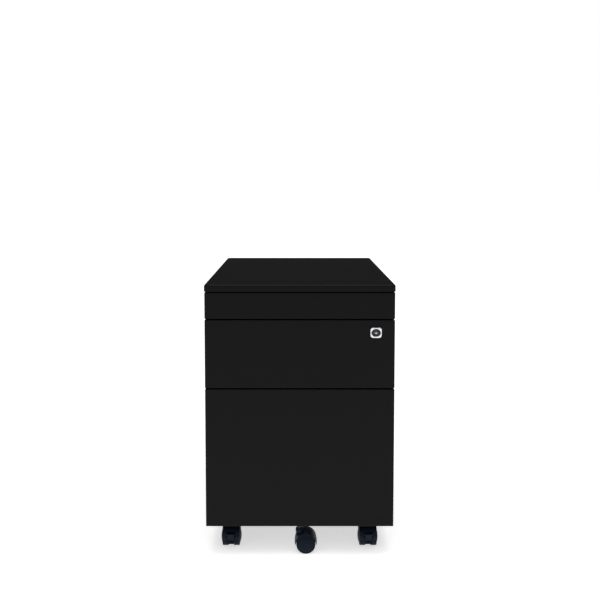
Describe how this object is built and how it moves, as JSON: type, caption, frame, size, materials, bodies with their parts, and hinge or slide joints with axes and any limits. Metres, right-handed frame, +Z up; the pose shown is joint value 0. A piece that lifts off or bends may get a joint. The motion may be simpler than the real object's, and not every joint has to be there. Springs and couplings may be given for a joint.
{
  "type": "filing cabinet",
  "caption": "Black sheet-metal mobile pedestal with stacked pencil, box and file drawers, a front lock, hooded swivel castors and an anti-tip castor under the file drawer.",
  "frame": {"origin": "on the floor, centred under the lid's outline", "axes": "+Z up, +X to the viewer's right when facing the drawers, -Y out of the drawer fronts"},
  "size_m": [0.391, 0.5, 0.57],
  "materials": {
    "black_powder_coat": "fine satin powder coat",
    "black_inner_paint": "satin paint",
    "zinc": "bright zinc plate",
    "chrome": "polished",
    "lock_plug_dark": "dark nickel",
    "dark_plastic": "fine grain",
    "wheel_nylon": "moulded",
    "hood_nylon": "moulded, satin",
    "rubber": "matt",
    "aluminium": "drawn"
  },
  "bodies": {
    "carcass": {"top_lid": "black_powder_coat", "top_rails": "black_inner_paint", "left_side_panel": "black_powder_coat", "right_side_panel": "black_powder_coat", "back_panel": "black_powder_coat", "bottom_pan": "black_inner_paint", "slide_uprights": "black_inner_paint", "slide_outer_members": "zinc", "slide_stops": "rubber", "lock_bar_guides": "zinc", "castor_plates": "zinc", "castor_stems": "zinc", "castor_nuts": "zinc"},
    "pencil_drawer": {"pencil_front": "black_powder_coat", "pencil_front_backing": "black_inner_paint", "pencil_drawer_tray": "black_inner_paint", "pencil_insert": "dark_plastic", "pencil_slide_inner": "zinc"},
    "box_drawer": {"box_front": "black_powder_coat", "box_front_backing": "black_inner_paint", "box_drawer_tray": "black_inner_paint", "box_front_screws": "zinc", "box_slide_inner": "zinc", "lock_housing": "chrome", "lock_shroud": "dark_plastic", "lock_nut": "zinc"},
    "lock_plug_body": {"lock_plug": "lock_plug_dark", "lock_cam": "zinc"},
    "lock_bar_body": {"lock_bar": "zinc"},
    "file_drawer": {"file_front": "black_powder_coat", "file_front_backing": "black_inner_paint", "file_drawer_tray": "black_inner_paint", "file_front_screws": "zinc", "file_hanging_rails": "aluminium", "file_slide_inner": "zinc", "fifth_castor_bracket": "zinc", "fifth_castor_stem": "zinc"},
    "file_slide_link": {"file_slide_middle": "zinc"},
    "castor_front_left": {"castor_hood_front_left": "hood_nylon", "castor_axle_front_left": "zinc"},
    "wheel_a_front_left": {"castor_wheel_a_front_left": "wheel_nylon"},
    "wheel_b_front_left": {"castor_wheel_b_front_left": "wheel_nylon"},
    "pedal_front_left": {"brake_pedal_front_left": "hood_nylon"},
    "castor_front_right": {"castor_hood_front_right": "hood_nylon", "castor_axle_front_right": "zinc"},
    "wheel_a_front_right": {"castor_wheel_a_front_right": "wheel_nylon"},
    "wheel_b_front_right": {"castor_wheel_b_front_right": "wheel_nylon"},
    "pedal_front_right": {"brake_pedal_front_right": "hood_nylon"},
    "castor_rear_left": {"castor_hood_rear_left": "hood_nylon", "castor_axle_rear_left": "zinc"},
    "wheel_a_rear_left": {"castor_wheel_a_rear_left": "wheel_nylon"},
    "wheel_b_rear_left": {"castor_wheel_b_rear_left": "wheel_nylon"},
    "castor_rear_right": {"castor_hood_rear_right": "hood_nylon", "castor_axle_rear_right": "zinc"},
    "wheel_a_rear_right": {"castor_wheel_a_rear_right": "wheel_nylon"},
    "wheel_b_rear_right": {"castor_wheel_b_rear_right": "wheel_nylon"},
    "castor_fifth": {"castor_hood_fifth": "hood_nylon", "castor_axle_fifth": "zinc"},
    "wheel_a_fifth": {"castor_wheel_a_fifth": "wheel_nylon"},
    "wheel_b_fifth": {"castor_wheel_b_fifth": "wheel_nylon"}
  },
  "joints": [
    {"name": "drawer_1_pencil_slide", "type": "slide", "parent": "carcass", "child": "pencil_drawer", "axis": [0, -1, 0], "range_m": [0, 0.3]},
    {"name": "drawer_2_box_slide", "type": "slide", "parent": "carcass", "child": "box_drawer", "axis": [0, -1, 0], "range_m": [0, 0.32]},
    {"name": "drawer_3_file_slide", "type": "slide", "parent": "carcass", "child": "file_drawer", "axis": [0, -1, 0], "range_m": [0, 0.41]},
    {"name": "file_slide_middle_slide", "type": "slide", "parent": "carcass", "child": "file_slide_link", "axis": [0, -1, 0], "range_m": [0, 0.205]},
    {"name": "lock_bar_lift", "type": "slide", "parent": "carcass", "child": "lock_bar_body", "axis": [0, 0, 1], "range_m": [0, 0.01]},
    {"name": "lock_plug_turn", "type": "hinge", "parent": "box_drawer", "child": "lock_plug_body", "pos_m": [0.1555, -0.24, 0.471], "axis": [0, 1, 0], "range_deg": [0, 90]},
    {"name": "pedal_front_left", "type": "hinge", "parent": "castor_front_left", "child": "pedal_front_left", "pos_m": [-0.146, -0.2182, 0.0315], "axis": [1, 0, 0], "range_deg": [0, 5]},
    {"name": "pedal_front_right", "type": "hinge", "parent": "castor_front_right", "child": "pedal_front_right", "pos_m": [0.146, -0.2182, 0.0315], "axis": [1, 0, 0], "range_deg": [0, 5]},
    {"name": "swivel_fifth", "type": "hinge", "parent": "file_drawer", "child": "castor_fifth", "pos_m": [0, -0.219, 0.045], "axis": [0, 0, 1], "continuous": true},
    {"name": "swivel_front_left", "type": "hinge", "parent": "carcass", "child": "castor_front_left", "pos_m": [-0.146, -0.183, 0.045], "axis": [0, 0, 1], "continuous": true},
    {"name": "swivel_front_right", "type": "hinge", "parent": "carcass", "child": "castor_front_right", "pos_m": [0.146, -0.183, 0.045], "axis": [0, 0, 1], "continuous": true},
    {"name": "swivel_rear_left", "type": "hinge", "parent": "carcass", "child": "castor_rear_left", "pos_m": [-0.146, 0.196, 0.045], "axis": [0, 0, 1], "continuous": true},
    {"name": "swivel_rear_right", "type": "hinge", "parent": "carcass", "child": "castor_rear_right", "pos_m": [0.146, 0.196, 0.045], "axis": [0, 0, 1], "continuous": true},
    {"name": "wheel_a_fifth", "type": "hinge", "parent": "castor_fifth", "child": "wheel_a_fifth", "pos_m": [0.013, -0.219, 0.02], "axis": [0, 1, 0], "continuous": true},
    {"name": "wheel_a_front_left", "type": "hinge", "parent": "castor_front_left", "child": "wheel_a_front_left", "pos_m": [-0.146, -0.196, 0.02], "axis": [1, 0, 0], "continuous": true},
    {"name": "wheel_a_front_right", "type": "hinge", "parent": "castor_front_right", "child": "wheel_a_front_right", "pos_m": [0.146, -0.196, 0.02], "axis": [1, 0, 0], "continuous": true},
    {"name": "wheel_a_rear_left", "type": "hinge", "parent": "castor_rear_left", "child": "wheel_a_rear_left", "pos_m": [-0.146, 0.183, 0.02], "axis": [1, 0, 0], "continuous": true},
    {"name": "wheel_a_rear_right", "type": "hinge", "parent": "castor_rear_right", "child": "wheel_a_rear_right", "pos_m": [0.146, 0.183, 0.02], "axis": [1, 0, 0], "continuous": true},
    {"name": "wheel_b_fifth", "type": "hinge", "parent": "castor_fifth", "child": "wheel_b_fifth", "pos_m": [0.013, -0.219, 0.02], "axis": [0, 1, 0], "continuous": true},
    {"name": "wheel_b_front_left", "type": "hinge", "parent": "castor_front_left", "child": "wheel_b_front_left", "pos_m": [-0.146, -0.196, 0.02], "axis": [1, 0, 0], "continuous": true},
    {"name": "wheel_b_front_right", "type": "hinge", "parent": "castor_front_right", "child": "wheel_b_front_right", "pos_m": [0.146, -0.196, 0.02], "axis": [1, 0, 0], "continuous": true},
    {"name": "wheel_b_rear_left", "type": "hinge", "parent": "castor_rear_left", "child": "wheel_b_rear_left", "pos_m": [-0.146, 0.183, 0.02], "axis": [1, 0, 0], "continuous": true},
    {"name": "wheel_b_rear_right", "type": "hinge", "parent": "castor_rear_right", "child": "wheel_b_rear_right", "pos_m": [0.146, 0.183, 0.02], "axis": [1, 0, 0], "continuous": true}
  ],
  "couplings": [
    {"joint": "file_slide_middle_slide", "follows": "drawer_3_file_slide", "ratio": 0.5},
    {"joint": "lock_plug_turn", "follows": "lock_bar_lift", "rad_per_m": 157.07}
  ]
}
